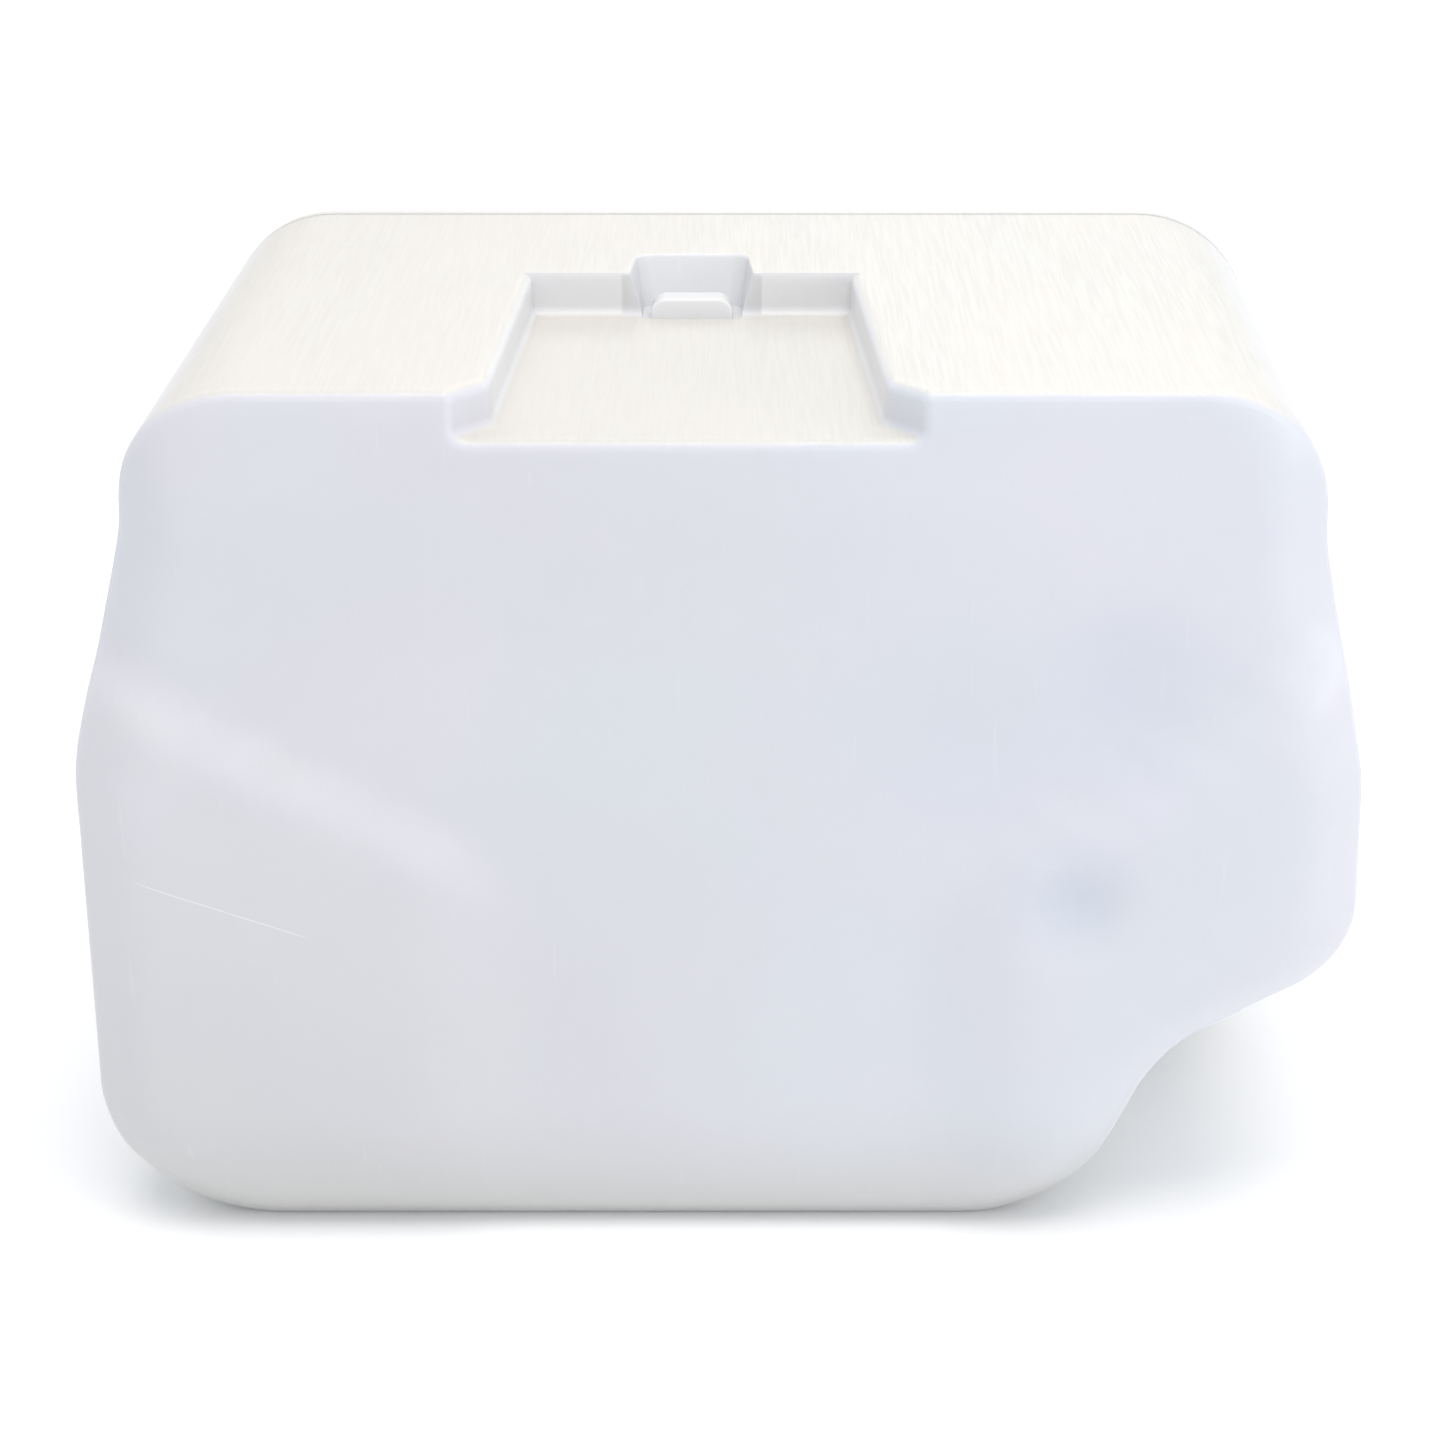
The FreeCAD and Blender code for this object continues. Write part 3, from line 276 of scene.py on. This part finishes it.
def strainer_steel():
    """Punched stainless sheet, brushed round the basket."""
    g = Graph("strainer_steel")
    brushing = g.noise((240, 3000, 240), 3.0)
    g.set(Base_Color=g.mix(brushing, srgb(176, 178, 180), srgb(206, 207, 208)), Metallic=1.0)
    g.set(Roughness=g.step(brushing, 0.25, 0.75, 0.3, 0.48))
    g.bump(brushing, 0.00002)
    return g.material


def floor_paint():
    """Plain white, with the faintest clouds."""
    g = Graph("floor_paint")
    g.set(Base_Color=g.mix(g.noise((3, 3, 3), 2.0), srgb(252, 252, 252), srgb(250, 250, 250)), Roughness=0.9)
    return g.material


def dress():
    """Gives each CAD node the material of its slot, and smooth shading across its curved faces."""
    looks = {
        "natural_plastic": natural_plastic("natural_plastic"),
        "cover_plastic": natural_plastic("cover_plastic"),
        "black_plastic": black_plastic(),
        "seal_rubber": seal_rubber(),
        "seal_foam": seal_foam(),
        "steel": zinc_steel(),
        "strainer_steel": strainer_steel(),
    }
    for part in frame["record"]["subparts"]:
        mesh = frame["nodes"][part["node"]].data
        mesh.materials.clear()
        mesh.materials.append(looks[part["material_slot"]])
        mesh.shade_smooth()
        mesh.set_sharp_from_angle(angle=SMOOTH_BELOW)


# ---------------------------------------------------------------- stage

def floor():
    """The plain pale floor that the object stands on."""
    mesh = bpy.data.meshes.new("floor")
    corners = [(x * FLOOR_HALF, y * FLOOR_HALF, 0) for x, y in ((-1, -1), (1, -1), (1, 1), (-1, 1))]
    mesh.from_pydata(corners, [], [(0, 1, 2, 3)])
    obj = bpy.data.objects.new("floor", mesh)
    bpy.context.scene.collection.objects.link(obj)
    mesh.materials.append(floor_paint())


def area_light(name, location, target, size, power, colour=(1, 1, 1)):
    """A rectangular light at a place, turned to a target."""
    data = bpy.data.lights.new(name, "AREA")
    data.shape = "RECTANGLE"
    data.size, data.size_y = size
    data.energy = power
    data.color = colour
    obj = bpy.data.objects.new(name, data)
    obj.location = location
    obj.rotation_euler = (Vector(target) - Vector(location)).to_track_quat("-Z", "Y").to_euler()
    bpy.context.scene.collection.objects.link(obj)


def light():
    """A bright soft room, a key above the front edge, a weak light from the right, and a lit floor behind."""
    world = bpy.data.worlds.new("studio")
    bpy.context.scene.world = world
    world.use_nodes = True
    background = world.node_tree.nodes["Background"]
    background.inputs["Color"].default_value = (0.93, 0.96, 1.0, 1.0)
    background.inputs["Strength"].default_value = 0.8
    area_light("key", (0.1, -0.45, 1.9), (0.02, 0.0, 0.1), (1.4, 0.8), 17.0, (1.0, 0.98, 0.95))
    area_light("right", (1.3, -0.75, 0.45), (0.12, 0, 0.12), (0.6, 0.6), 3.5)
    area_light("backdrop", (0.0, 3.2, 2.4), (0.0, 3.2, 0.0), (6.0, 3.0), 55.0)
    bpy.context.scene.view_settings.view_transform = "Standard"


def camera():
    """The camera, level and looking down at the front face."""
    data = bpy.data.cameras.new("camera")
    data.lens, data.sensor_width = LENS, SENSOR
    data.clip_start, data.clip_end = 0.05, 50.0
    obj = bpy.data.objects.new("camera", data)
    obj.location = CAMERA_PLACE
    obj.rotation_euler = (math.pi / 2 - CAMERA_PITCH, 0, 0)
    bpy.context.scene.collection.objects.link(obj)
    bpy.context.scene.camera = obj


def main():
    camera()
    light()
    floor()
    dress()


main()
